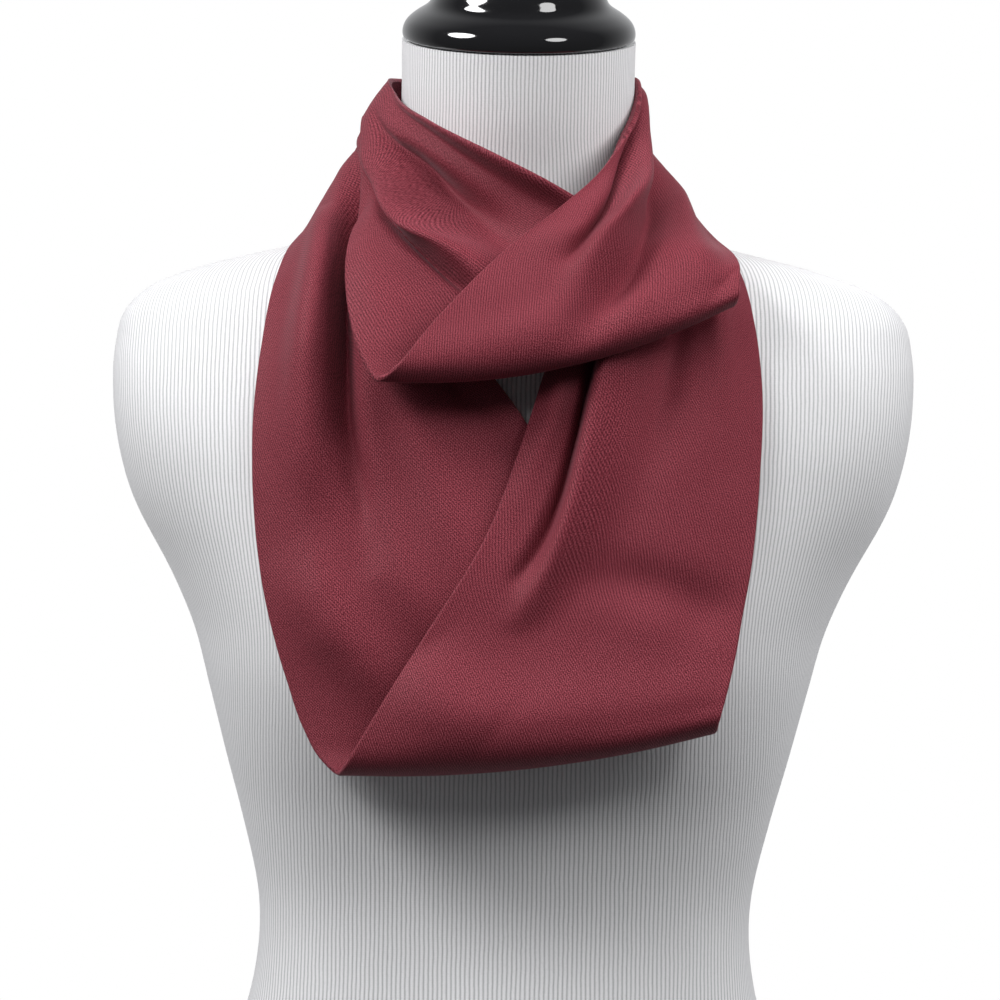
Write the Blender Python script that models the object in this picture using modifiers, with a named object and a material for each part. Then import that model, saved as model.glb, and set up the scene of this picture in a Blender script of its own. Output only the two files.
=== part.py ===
"""Infinity scarf looped twice round the neck of a limbless dress form, for Blender 4.5.

The script models in metres with +Z up. The front faces -Y, and -X is the left of a front view.
The origin is the middle of the base board's underside. The tables are in millimetres.
"""

import math

import bmesh
import bpy
import numpy as np
from mathutils import Matrix, Vector
from mathutils.bvhtree import BVHTree

MM = 0.001

# Driving sizes of the scarf, in millimetres
SCARF_WIDTH = 172.0
CLOTH_THICKNESS = 2.0
LAYER_GAP = 3.0
FORM_GAP = 1.75
SEAM_GAP = 0.55
ROWS_PER_SECTION = 2
COLUMNS = 26
FULL_FOLD_CHORD = 100.0
FOLD_STEPS = 33
FOLD_END_FADE = 0.7
SLOPE_STEP = 10.0
STEEPEST_SLOPE = 1.6
RAY_START = 400.0
LEAST_FACING = 0.35
SPREAD_STEPS = 12
SPREAD_SHARE = 0.97
SEAM_HELD = 5.0
SEAM_FREE = 18.0

# Driving sizes of the dress form, in millimetres
BOARD_HEIGHT = 10.0
BOARD_INSET = 5.0
FORM_COLUMNS = 44
FORM_RINGS_PER_ROW = 2
BUST_X = 82.0
BUST_Z = 352.0
BUST_DEPTH = 28.0
BUST_SPREAD_X = 42.0
BUST_SPREAD_Z = 44.0
NECK_TOP_TILT = 13.0
CAP_STEPS = 56

# Each ring of the form: its height, half width, how far it reaches to the front and to the back
# of the standing axis, its squareness (2 is an ellipse) and its forward tilt in degrees.
FORM_RINGS = (
    # height, half_width, front, back, squareness, tilt
    (10.3, 163.0, 98.0, 110.0, 2.3, 0.0),
    (60.0, 161.0, 97.0, 107.0, 2.3, 0.0),
    (130.0, 144.0, 87.0, 88.0, 2.3, 0.0),
    (174.0, 127.0, 80.0, 77.0, 2.3, 0.0),
    (220.0, 122.0, 77.0, 72.0, 2.3, 0.0),
    (264.0, 131.0, 84.0, 77.0, 2.3, 0.0),
    (295.0, 139.5, 91.0, 82.0, 2.3, 0.0),
    (333.0, 149.5, 96.0, 87.0, 2.3, 0.0),
    (360.0, 157.0, 98.0, 90.0, 2.3, 0.0),
    (385.0, 168.0, 99.0, 92.0, 2.35, 0.0),
    (424.0, 189.0, 98.0, 94.0, 2.45, 0.0),
    (450.0, 196.5, 95.0, 94.0, 2.55, 0.0),
    (478.0, 199.8, 87.0, 92.0, 2.6, 0.0),
    (500.0, 199.0, 78.0, 88.0, 2.5, 0.0),
    (519.0, 193.0, 69.0, 82.0, 2.3, 0.0),
    (531.0, 178.0, 62.0, 77.0, 2.05, 0.0),
    (542.0, 146.0, 57.0, 72.0, 1.8, 0.0),
    (552.0, 104.0, 54.0, 66.0, 1.65, 0.0),
    (562.0, 77.0, 55.0, 61.0, 1.75, 2.0),
    (574.0, 64.0, 57.0, 57.0, 1.95, 5.0),
    (592.0, 59.5, 60.0, 52.0, 2.0, 9.0),
    (620.0, 58.0, 67.0, 45.0, 2.0, 12.0),
    (652.0, 58.0, 74.0, 38.0, 2.0, 13.0),
)

# Profile of the neck cap from its top down: distance from its axis and height above the neck.
CAP_PROFILE = (
    # radius, height
    (0.0, 40.0),
    (16.0, 39.0),
    (30.0, 35.0),
    (39.0, 28.5),
    (42.0, 21.0),
    (42.5, 16.5),
    (46.5, 13.8),
    (53.0, 10.5),
    (57.6, 5.8),
    (58.5, 2.0),
    (57.0, 0.3),
    (0.0, 0.3),
)

# Each section of the band, all the way round its closed loop: where hem A and hem B lie, how far
# the middle of the section stands out from the straight line between them, and how far it hangs
# below that line. The stretches follow each other: lower left, lower right, upper left, upper
# right.
LOWER_LEFT = (
    # ax, ay, az, bx, by, bz, bow, sag
    (0, 84, 532, 0, 61, 585, 6, 0),
    (-50, 74, 536, -40, 51, 591, 5, 0),
    (-88, 46, 544, -66, 28, 602, 1, 0),
    (-104, 4, 550, -77, 2, 607, 1, 0),
    (-113, -34, 540, -66, -38, 590, 3, 0),
    (-118, -58, 523, -54, -60, 563, 6, 0),
    (-122, -76, 495, -40, -77, 530, 8, 0),
    (-125, -89, 455, -18, -91, 494, 9, 0),
    (-123, -95, 412, 6, -98, 462, 10, 0),
    (-116, -100, 371, 34, -109, 411, 12, 1),
    (-106, -104, 336, 62, -115, 365, 12, 3),
    (-97, -108, 312, 82, -114, 336, 8, 5),
    (-89, -112, 299, 94, -112, 322, 6, 6),
    (-81, -118, 293, 99, -117, 316, 4, 7),
    (-77, -126, 297, 100, -124, 320, 3, 7),
)
LOWER_RIGHT = (
    (-63, -130, 320, 103, -124, 331, 3, 6),
    (-43, -127, 354, 108, -117, 352, 4, 4),
    (-13, -117, 404, 115, -108, 392, 6, 2),
    (6, -108, 456, 119, -98, 437, 7, 0),
    (18, -95, 494, 120, -88, 476, 8, 0),
    (32, -77, 530, 116, -72, 512, 7, 0),
    (45, -53, 566, 109, -40, 537, 3, 0),
    (54, -25, 590, 95, -8, 550, -5, 0),
    (56, 6, 611, 82, 24, 556, -6, 0),
    (49, 32, 624, 61, 48, 568, -1, 0),
    (28, 49, 631, 36, 60, 584, 4, 0),
)
UPPER_LEFT = (
    (0, 52, 633, 0, 62, 590, 5, 0),
    (-32, 46, 635, -42, 58, 594, 5, 0),
    (-57, 24, 635, -69, 32, 607, 3, 0),
    (-64, -2, 632, -76, -4, 614, 1, 0),
    (-56, -33, 620, -76, -34, 591, 3, 0),
    (-36, -62, 607, -71, -54, 571, 4, 0),
    (-5, -78, 588, -79, -76, 550, 6, 0),
    (28, -82, 569, -81, -94, 532, 8, 1),
    (60, -83, 550, -79, -108, 512, 8, 4),
    (86, -87, 533, -74, -120, 494, 6, 9),
    (100, -92, 525, -70, -125, 486, 5, 12),
    (105, -99, 520, -65, -132, 480, 4, 14),
    (107, -106, 523, -57, -139, 485, 4, 14),
)
UPPER_RIGHT = (
    (108, -101, 532, -38, -132, 508, 7, 11),
    (107, -84, 541, -10, -117, 538, 10, 6),
    (97, -46, 553, 21, -98, 565, 8, 2),
    (84, -14, 571, 44, -70, 589, 6, 0),
    (71, 2, 588, 55, -38, 612, 1, 0),
    (62, 20, 592, 57, -4, 635, 0, 0),
    (58, 46, 574, 53, 30, 629, 1, 0),
    (38, 74, 549, 35, 58, 604, 5, 0),
)

# Each fold of the cloth: a ridge (height above 0) or a trough (below 0) along a curve of three
# points. A point is a section number, counted on round the loop, and a share of the width from
# hem A. The fold has a half width, a height, and a lean that tips it towards hem B.
FOLDS = (
    # s1, v1, s2, v2, s3, v3, half_width, height, lean
    # Lower left stretch
    (3.6, 0.36, 6.0, 0.22, 9.8, 0.18, 20, 8, 0),
    (3.2, 0.86, 5.8, 0.46, 9.4, 0.30, 14, -13, 0),
    (4.0, 0.98, 6.6, 0.62, 10.0, 0.46, 16, 6, 0),
    (8.2, 0.22, 9.4, 0.36, 11.2, 0.34, 13, -4, 0),
    # Lower right stretch
    (23.0, 0.24, 19.0, 0.19, 16.2, 0.26, 11, -10, 0),
    (23.0, 0.46, 18.5, 0.30, 14.6, 0.16, 14, 8, -3),
    (22.0, 0.62, 17.0, 0.52, 14.3, 0.20, 14, -6, 0),
    (17.2, 0.50, 16.8, 0.72, 16.8, 1.00, 12, -3.5, 0),
    (22.5, 0.78, 20.0, 0.72, 18.5, 0.75, 14, 4, 0),
    # Gathers behind the neck, upper wrap
    (21.5, 0.22, 25.5, 0.26, 29.4, 0.30, 13, 7, 0),
    (22.0, 0.50, 26.0, 0.52, 30.0, 0.56, 12, -6, 0),
    (21.5, 0.78, 25.5, 0.78, 29.4, 0.82, 13, 7, 0),
    # Upper left stretch
    (29.2, 0.88, 31.0, 0.62, 36.0, 0.56, 14, 9, 8),
    (29.8, 1.00, 31.2, 0.76, 36.0, 0.69, 11, -10, 0),
    (29.4, 0.26, 30.6, 0.20, 32.2, 0.26, 17, -8, 0),
    (30.5, 0.92, 32.5, 0.92, 36.0, 0.92, 14, 4, 0),
    # Upper right stretch
    (45.5, 0.60, 42.3, 0.98, 39.2, 0.58, 11, -10, 0),
    (44.6, 0.44, 41.4, 0.80, 38.3, 0.70, 14, 9, 4),
    (45.0, 0.18, 41.3, 0.52, 38.2, 0.56, 14, -6, 0),
    (43.0, 0.10, 40.0, 0.06, 38.6, 0.30, 15, 3, 0),
    # Gathers behind the neck, lower wrap
    (43.6, 0.22, 47.0, 0.26, 50.6, 0.28, 13, 7, 0),
    (44.0, 0.56, 47.2, 0.52, 50.8, 0.56, 12, -6, 0),
    (44.4, 0.82, 47.0, 0.78, 50.4, 0.80, 13, 7, 0),
)


def spline(knots, values, s):
    """Values of a smooth curve at section numbers s, through one row of values a section."""
    steps = np.diff(knots)[:, None]
    slopes = np.diff(values, axis=0) / steps
    inner = (steps[:-1] * slopes[1:] + steps[1:] * slopes[:-1]) / (steps[:-1] + steps[1:])
    tangents = np.vstack((slopes[:1], inner, slopes[-1:]))
    i = np.clip(np.floor(s).astype(int), 0, len(knots) - 2)
    t = (s - i)[:, None]
    h = steps[i]
    return (
        (1 + 2 * t) * (1 - t) ** 2 * values[i]
        + t * (1 - t) ** 2 * h * tangents[i]
        + t**2 * (3 - 2 * t) * values[i + 1]
        - t**2 * (1 - t) * h * tangents[i + 1]
    )


def form_rings_at(heights):
    """Half width, front, back, squareness and tilt of the form at these heights."""
    table = np.array(FORM_RINGS)
    rows = np.interp(heights, table[:, 0], np.arange(len(table)))
    return spline(table[:, 0], table[:, 1:], rows)


def form_ring(row):
    """Points of the form's ring at a row of the table, which need not be whole."""
    table = np.array(FORM_RINGS)
    height, half_width, front, back, squareness, tilt = spline(table[:, 0], table, np.array([row]))[0]
    turn = np.linspace(0, 2 * math.pi, FORM_COLUMNS, endpoint=False)
    across, along = np.sin(turn), -np.cos(turn)
    x = half_width * np.sign(across) * np.abs(across) ** (2 / squareness)
    depth = np.sign(along) * np.abs(along) ** (2 / squareness)
    y = (back - front) / 2 + (back + front) / 2 * depth
    side_fade = np.clip(-depth, 0, 1)
    for side in (-BUST_X, BUST_X):
        swell = np.exp(-(((x - side) / BUST_SPREAD_X) ** 2 + ((height - BUST_Z) / BUST_SPREAD_Z) ** 2) / 2)
        y -= BUST_DEPTH * swell * np.sqrt(side_fade)
    z = height + (y - (back - front) / 2) * math.tan(math.radians(tilt))
    return np.stack((x, y, z), axis=1)


def loft(rings):
    """A closed mesh through rings of equal length, with a flat face on the first and the last."""
    bm = bmesh.new()
    loops = [[bm.verts.new(Vector(point) * MM) for point in ring] for ring in rings]
    for low, high in zip(loops, loops[1:]):
        for i, vertex in enumerate(low):
            j = (i + 1) % len(low)
            bm.faces.new((vertex, low[j], high[j], high[i]))
    bm.faces.new(loops[0][::-1])
    bm.faces.new(loops[-1])
    bmesh.ops.recalc_face_normals(bm, faces=bm.faces)
    return bm


def add_object(name, bm, collection, material, smooth_angle=40):
    """Puts a mesh in the scene as a named object with its material."""
    mesh = bpy.data.meshes.new(name)
    bm.to_mesh(mesh)
    bm.free()
    mesh.shade_smooth()
    mesh.set_sharp_from_angle(angle=math.radians(smooth_angle))
    obj = bpy.data.objects.new(name, mesh)
    obj.data.materials.append(material)
    collection.objects.link(obj)
    return obj


def plain_material(name, colour, roughness, coat=0.0):
    material = bpy.data.materials.new(name)
    material.use_nodes = True
    shader = material.node_tree.nodes["Principled BSDF"]
    shader.inputs["Base Color"].default_value = (*colour, 1.0)
    shader.inputs["Roughness"].default_value = roughness
    shader.inputs["Coat Weight"].default_value = coat
    return material


def outward(points):
    """Direction away from the form at each point, as the form's own surface faces there."""
    shape = points.shape[:-1]
    x, y, height = points.reshape(-1, 3).T
    half_width, front, back = form_rings_at(height)[:, :3].T
    middle = (back - front) / 2
    flatness = ((back + front) / 2 / half_width) ** 2
    away = np.stack((x * flatness, y - middle, 0 * x), axis=-1)
    away /= np.linalg.norm(away, axis=-1, keepdims=True)
    above = form_rings_at(height + SLOPE_STEP)[:, :3]
    below = form_rings_at(height - SLOPE_STEP)[:, :3]
    across, ahead, behind = ((below - above) / (2 * SLOPE_STEP)).T
    slope = away[:, 0] ** 2 * across + away[:, 1] ** 2 * np.where(away[:, 1] < 0, ahead, behind)
    away[:, 2] = np.clip(slope, 0, STEEPEST_SLOPE)
    away /= np.linalg.norm(away, axis=-1, keepdims=True)
    return away.reshape(*shape, 3)


def section_knots(sections):
    """Length round the loop at each section, and the same measured along each hem."""
    hem_a = np.linalg.norm(np.diff(sections[:, 0:3], axis=0), axis=1)
    hem_b = np.linalg.norm(np.diff(sections[:, 3:6], axis=0), axis=1)
    measured = [np.concatenate(([0.0], np.cumsum(steps))) for steps in ((hem_a + hem_b) / 2, hem_a, hem_b)]
    return measured


def fold_offsets(s, v, knots_a, knots_b):
    """How far the folds lift each point of the band, and tip it towards hem B."""
    twice_a, twice_b = (np.append(knots, knots[1:] + knots[-1]) for knots in (knots_a, knots_b))
    rows = np.arange(len(twice_a))

    def flat(at_s, at_v):
        """Place on the cloth laid flat: length round the loop, and distance from hem A."""
        length = np.interp(at_s, rows, twice_a) * (1 - at_v) + np.interp(at_s, rows, twice_b) * at_v
        return np.stack((length, SCARF_WIDTH * at_v), axis=-1)

    here = flat(s, v)
    total = (knots_a[-1] + knots_b[-1]) / 2
    lift = np.zeros(s.shape)
    tip = np.zeros(s.shape)
    t = np.linspace(0, 1, FOLD_STEPS)
    for s1, v1, s2, v2, s3, v3, half_width, height, lean in FOLDS:
        path_s = (1 - t) ** 2 * s1 + 2 * t * (1 - t) * s2 + t**2 * s3
        path_v = (1 - t) ** 2 * v1 + 2 * t * (1 - t) * v2 + t**2 * v3
        path = flat(path_s, path_v)
        away = here[..., None, :] - path
        away[..., 0] = (away[..., 0] + total / 2) % total - total / 2
        distance = np.linalg.norm(away, axis=-1)
        nearest = distance.argmin(axis=-1)
        end_fade = np.sin(np.pi * t[nearest]) ** FOLD_END_FADE
        bump = np.exp(-((distance.min(axis=-1) / half_width) ** 2)) * end_fade
        lift += height * bump
        tip += lean * bump
    return lift, tip


def band_grid():
    """Points of the whole band, as sections by columns, before it is laid on the form."""
    table = np.array(LOWER_LEFT + LOWER_RIGHT + UPPER_LEFT + UPPER_RIGHT, float)
    wrapped = np.vstack((table[-2:], table, table[:3]))
    knots, knots_a, knots_b = section_knots(wrapped)
    count = len(table) * ROWS_PER_SECTION
    s = np.arange(count) / ROWS_PER_SECTION
    rows = spline(knots, wrapped, s + 2)
    v = np.linspace(0, 1, COLUMNS)
    hem_a, hem_b = rows[:, None, 0:3], rows[:, None, 3:6]
    bow, sag = rows[:, None, 6:7], rows[:, None, 7:8]
    share = v[None, :, None]
    points = hem_a * (1 - share) + hem_b * share
    closed_a = knots_a[2 : 3 + len(table)] - knots_a[2]
    closed_b = knots_b[2 : 3 + len(table)] - knots_b[2]
    lift, tip = fold_offsets(*np.meshgrid(s, v, indexing="ij"), closed_a, closed_b)
    chord = np.linalg.norm(hem_b - hem_a, axis=-1, keepdims=True)
    arch = 4 * share * (1 - share)
    points = points - np.array((0, 0, 1)) * sag * arch
    spacious = np.minimum(1, chord / FULL_FOLD_CHORD)
    rise = bow * arch + lift[..., None] * spacious
    return points + outward(points) * rise + (hem_b - hem_a) / chord * tip[..., None] * spacious


def spread(need, free):
    """A smooth lift that is nowhere under the lift needed, except where the cloth isn't free."""
    lift = need.copy()
    for _ in range(SPREAD_STEPS):
        padded = np.pad(lift, 1, mode="edge")
        around = (padded[:-2, 1:-1] + padded[2:, 1:-1] + padded[1:-1, :-2] + padded[1:-1, 2:]) / 4
        lift = np.maximum(need, SPREAD_SHARE * (lift + around) / 2) * free
    return lift


def lift_needed(points, tree, gap):
    """How far each point has to move outwards to lie outside a closed surface."""
    need = np.zeros(points.shape[:2])
    directions = outward(points)
    for index in np.ndindex(need.shape):
        point, away = Vector(points[index]), Vector(directions[index])
        hit, _, _, distance = tree.ray_cast((point + away * RAY_START) * MM, -away)
        if hit is not None:
            need[index] = max(0.0, RAY_START + gap - distance / MM)
        moved = point + away * need[index]
        nearest, normal, _, distance = tree.find_nearest(moved * MM)
        clear = (moved * MM - nearest).dot(normal) / MM
        if clear < gap and distance < 2 * gap * MM:
            need[index] += (gap - clear) / max(LEAST_FACING, abs(normal.dot(away)))
    return need


def halfway(points):
    """The grid with the points halfway between its rows and its columns added."""
    rows, columns = points.shape[:2]
    fine = np.zeros((2 * rows - 1, 2 * columns - 1, 3))
    fine[::2, ::2] = points
    fine[1::2, ::2] = (points[:-1] + points[1:]) / 2
    fine[:, 1::2] = (fine[:, :-1:2] + fine[:, 2::2]) / 2
    return fine


def lay(points, tree, gap, free=1.0):
    """Moves a grid of points out until it, and the cloth between its points, clears a surface."""
    needed = np.pad(lift_needed(halfway(points), tree, gap), 1)
    rows, columns = points.shape[:2]
    windows = [
        needed[i : i + 2 * rows - 1 : 2, j : j + 2 * columns - 1 : 2] for i in range(3) for j in range(3)
    ]
    need = np.maximum.reduce(windows) * free
    return points + outward(points) * spread(need, free)[..., None]


def near_seams(points, at_start, at_end):
    """Zero at a seam that a stretch shares with the cloth under it, one away from it."""
    steps = np.linalg.norm(np.diff(points, axis=0), axis=2).mean(axis=1)
    length = np.concatenate(([0.0], np.cumsum(steps)))
    free = np.ones(len(length))
    if at_start:
        free *= np.clip((length - SEAM_HELD) / (SEAM_FREE - SEAM_HELD), 0, 1)
    if at_end:
        free *= np.clip((length[-1] - length - SEAM_HELD) / (SEAM_FREE - SEAM_HELD), 0, 1)
    return np.repeat(free[:, None], points.shape[1], axis=1)


def cloth_wall(name, points, collection, material):
    """A stretch of the band: a grid of its points, given its thickness with Solidify."""
    points = points.copy()
    for end, inner in ((0, 1), (-1, -2)):
        step = points[inner] - points[end]
        points[end] += step / np.linalg.norm(step, axis=1, keepdims=True) * SEAM_GAP / 2
    rows, columns = points.shape[:2]
    bm = bmesh.new()
    bmesh.ops.create_grid(bm, x_segments=columns - 1, y_segments=rows - 1, size=1)
    for vertex in bm.verts:
        row = round((vertex.co.y + 1) / 2 * (rows - 1))
        column = round((vertex.co.x + 1) / 2 * (columns - 1))
        vertex.co = Vector(points[row, column]) * MM
    obj = add_object(name, bm, collection, material, smooth_angle=75)
    wall = obj.modifiers.new("cloth_thickness", "SOLIDIFY")
    wall.thickness = CLOTH_THICKNESS * MM
    wall.offset = 0
    return obj


def tree_of(obj):
    """A search tree of an object's surface as the viewport shows it."""
    bpy.context.view_layer.update()
    return BVHTree.FromObject(obj, bpy.context.evaluated_depsgraph_get())


def build_form(collection):
    """The base board, the jersey-covered torso with its neck, and the gloss neck cap."""
    jersey = plain_material("white_jersey", (0.80, 0.80, 0.80), 0.85)
    gloss_black = plain_material("gloss_black", (0.012, 0.012, 0.014), 0.08, coat=1.0)
    matt_black = plain_material("matt_black", (0.02, 0.02, 0.02), 0.6)

    count = (len(FORM_RINGS) - 1) * FORM_RINGS_PER_ROW + 1
    rings = [form_ring(row) for row in np.linspace(0, len(FORM_RINGS) - 1, count)]
    torso = add_object("torso", loft(rings), collection, jersey)

    outline = rings[0] * (1 - BOARD_INSET / rings[0][:, 0].max()) * MM
    curve = bpy.data.curves.new("base_board", "CURVE")
    curve.dimensions = "2D"
    curve.fill_mode = "BOTH"
    curve.extrude = BOARD_HEIGHT / 2 * MM
    spline_points = curve.splines.new("POLY")
    spline_points.use_cyclic_u = True
    spline_points.points.add(len(outline) - 1)
    for point, (x, y, _) in zip(spline_points.points, outline):
        point.co = (x, y, 0, 1)
    board = bpy.data.objects.new("base_board", curve)
    board.location.z = BOARD_HEIGHT / 2 * MM
    board.data.materials.append(matt_black)
    collection.objects.link(board)

    bm = bmesh.new()
    profile = [bm.verts.new(Vector((radius, 0, height)) * MM) for radius, height in CAP_PROFILE]
    for upper, lower in zip(profile, profile[1:]):
        bm.edges.new((upper, lower))
    cap = add_object("neck_cap", bm, collection, gloss_black)
    turned = cap.modifiers.new("turned", "SCREW")
    turned.steps = CAP_STEPS
    turned.render_steps = CAP_STEPS
    turned.use_merge_vertices = True
    turned.merge_threshold = 0.0001
    cap.location = Vector(rings[-1].mean(axis=0)) * MM
    cap.rotation_euler = (math.radians(NECK_TOP_TILT), 0, 0)
    return torso


def build_scarf(collection, torso):
    """The four stretches of the band, each laid on the form and on those laid before it."""
    maroon = plain_material("maroon_twill", (0.235, 0.035, 0.052), 0.7)
    form_tree = tree_of(torso)
    points = band_grid()
    points = lay(np.concatenate((points, points[:1])), form_tree, FORM_GAP)
    points[-1] = points[0]
    tables = (LOWER_LEFT, LOWER_RIGHT, UPPER_LEFT, UPPER_RIGHT)
    names = ("lower_left", "lower_right", "upper_left", "upper_right")
    start = 0
    trees = []
    for name, table in zip(names, tables):
        end = start + len(table) * ROWS_PER_SECTION
        stretch = points[start : end + 1]
        for index, tree in enumerate(trees):
            joins_start = index == len(trees) - 1
            joins_end = name == names[-1] and index == 0
            free = near_seams(stretch, joins_start, joins_end)
            stretch = lay(stretch, tree, LAYER_GAP, free=free)
        obj = cloth_wall(f"scarf_{name}", stretch, collection, maroon)
        trees.append(tree_of(obj))
        start = end


def main():
    for obj in list(bpy.data.objects):
        bpy.data.objects.remove(obj)
    collection = bpy.data.collections.new("infinity_scarf_on_form")
    bpy.context.scene.collection.children.link(collection)
    torso = build_form(collection)
    build_scarf(collection, torso)


main()
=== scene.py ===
"""Infinity scarf wound twice round the neck of a limbless dress form, for Blender 4.5.

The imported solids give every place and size, in metres with +Z up. The front faces -Y. The tables
of the form's rings and of the scarf's sections are in millimetres.
"""

import math

import bmesh
import bpy
import numpy as np
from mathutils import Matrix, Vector, noise
from mathutils.bvhtree import BVHTree


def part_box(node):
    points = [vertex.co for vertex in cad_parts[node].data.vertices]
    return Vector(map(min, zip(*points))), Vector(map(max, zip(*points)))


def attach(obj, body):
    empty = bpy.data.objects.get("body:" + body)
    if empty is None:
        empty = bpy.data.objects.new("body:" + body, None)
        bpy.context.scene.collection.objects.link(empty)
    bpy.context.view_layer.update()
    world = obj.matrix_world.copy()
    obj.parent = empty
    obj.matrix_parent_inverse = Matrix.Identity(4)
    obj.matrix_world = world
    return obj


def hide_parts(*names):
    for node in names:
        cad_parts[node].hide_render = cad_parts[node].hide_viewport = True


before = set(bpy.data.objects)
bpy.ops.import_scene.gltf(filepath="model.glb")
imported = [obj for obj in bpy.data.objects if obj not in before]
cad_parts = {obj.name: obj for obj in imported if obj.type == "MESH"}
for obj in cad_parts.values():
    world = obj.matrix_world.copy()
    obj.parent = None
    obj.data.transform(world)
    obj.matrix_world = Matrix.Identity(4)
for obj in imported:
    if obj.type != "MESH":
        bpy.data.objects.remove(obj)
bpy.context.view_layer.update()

bpy.ops.object.select_all(action="DESELECT")

# Base board. A fibreboard plate cut to the outline of the hips, on which the form stands. It is
# painted matt black with a roller, and its edges are rounded over.
BOARD_SQUARENESS = 2.3
BOARD_COLUMNS = 128
BOARD_ROUNDING = 0.0012
BOARD_BLACK = (0.018, 0.018, 0.019, 1.0)


def superellipse(turn, squareness):
    """Shares of the half width and half depth of an outline, from its front round by the right."""
    across, along = np.sin(turn), -np.cos(turn)
    power = 2 / squareness
    return np.sign(across) * np.abs(across) ** power, np.sign(along) * np.abs(along) ** power


def new_finish(name, base_colour, roughness):
    """A new material, its node tree and its Principled shader."""
    material = bpy.data.materials.new(name)
    material.use_nodes = True
    shader = material.node_tree.nodes["Principled BSDF"]
    shader.inputs["Base Color"].default_value = base_colour
    shader.inputs["Roughness"].default_value = roughness
    return material, material.node_tree, shader


def wire(tree, kind, links=(), **settings):
    """Adds a node, sets its properties and feeds its inputs from sockets or plain values."""
    node = tree.nodes.new(kind)
    for key, value in settings.items():
        setattr(node, key, value)
    for socket, source in links:
        if isinstance(source, bpy.types.NodeSocket):
            tree.links.new(source, node.inputs[socket])
        else:
            node.inputs[socket].default_value = source
    return node


def maths(tree, operation, *values):
    """The output of one Math node."""
    return wire(tree, "ShaderNodeMath", enumerate(values), operation=operation).outputs[0]


def grain(tree, vector, scale, detail):
    """The output of a noise pattern that lies over a piece, from 0 to 1."""
    sockets = (("Vector", vector), ("Scale", scale), ("Detail", detail))
    return wire(tree, "ShaderNodeTexNoise", sockets).outputs["Fac"]


def relief(tree, shader, height, strength, distance):
    """Shallow relief on a finish, from a height over its surface."""
    sockets = (("Height", height), ("Strength", strength), ("Distance", distance))
    bump = wire(tree, "ShaderNodeBump", sockets)
    tree.links.new(bump.outputs["Normal"], shader.inputs["Normal"])


def active_piece(name, material):
    """Names the object just modelled and gives it its material."""
    piece = bpy.context.object
    piece.name = name
    piece.data.name = name
    piece.data.materials.clear()
    piece.data.materials.append(material)
    return piece


def edit(*, select="DESELECT"):
    """Edit mode on the object just modelled, with its edges all selected or all free."""
    bpy.ops.object.mode_set(mode="EDIT")
    bpy.ops.mesh.select_mode(type="EDGE")
    bpy.ops.mesh.select_all(action=select)


def leave_edit():
    """Object mode again, in which code can read and set what is selected."""
    bpy.ops.object.mode_set(mode="OBJECT")


board_low, board_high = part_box("base_board")
board_middle = (board_low + board_high) / 2
board_half = (board_high - board_low) / 2
bpy.ops.mesh.primitive_circle_add(vertices=BOARD_COLUMNS, radius=1, fill_type="NGON", location=(0, 0, 0))
for vertex in bpy.context.object.data.vertices:
    turn = math.atan2(vertex.co.x, -vertex.co.y)
    x, y = superellipse(turn, BOARD_SQUARENESS)
    vertex.co = board_middle + Vector((x * board_half.x, y * board_half.y, -board_half.z))
edit(select="SELECT")
bpy.ops.mesh.extrude_region_move(TRANSFORM_OT_translate={"value": (0, 0, 2 * board_half.z)})
bpy.ops.mesh.select_all(action="SELECT")
bpy.ops.mesh.normals_make_consistent(inside=False)
bpy.ops.mesh.select_all(action="DESELECT")
bpy.ops.mesh.edges_select_sharp(sharpness=math.radians(50))
bpy.ops.mesh.bevel(offset=BOARD_ROUNDING, segments=3)
leave_edit()
bpy.ops.object.shade_smooth_by_angle(angle=math.radians(35))

board_paint, tree, shader = new_finish("matt_black_paint", BOARD_BLACK, 0.55)
place = wire(tree, "ShaderNodeTexCoord").outputs["Object"]
relief(tree, shader, grain(tree, place, 900.0, 3.0), strength=0.25, distance=0.0003)

# Handling leaves hard surfaces unevenly dull. The board and the cap both use this group.
handling = bpy.data.node_groups.new("handling_marks", "ShaderNodeTree")
for name, direction, kind in (
    ("Vector", "INPUT", "NodeSocketVector"),
    ("Scale", "INPUT", "NodeSocketFloat"),
    ("Clean", "INPUT", "NodeSocketFloat"),
    ("Handled", "INPUT", "NodeSocketFloat"),
    ("Roughness", "OUTPUT", "NodeSocketFloat"),
):
    handling.interface.new_socket(name=name, in_out=direction, socket_type=kind)
given = wire(handling, "NodeGroupInput").outputs
smudges = grain(handling, given["Vector"], given["Scale"], 5.0)
dulled = wire(
    handling,
    "ShaderNodeMapRange",
    (
        ("Value", smudges),
        ("From Min", 0.35),
        ("From Max", 0.75),
        ("To Min", given["Clean"]),
        ("To Max", given["Handled"]),
    ),
)
wire(handling, "NodeGroupOutput", (("Roughness", dulled.outputs["Result"]),))


def leave_marks(tree, shader, vector, scale, clean, handled):
    """Lets handling vary the roughness of a finish between these two values."""
    sockets = (("Vector", vector), ("Scale", scale), ("Clean", clean), ("Handled", handled))
    marks = wire(tree, "ShaderNodeGroup", sockets, node_tree=handling)
    tree.links.new(marks.outputs["Roughness"], shader.inputs["Roughness"])


leave_marks(tree, shader, place, 35.0, clean=0.50, handled=0.66)

board = active_piece("form_base_board", board_paint)
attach(board, "root")
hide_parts("base_board")

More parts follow.
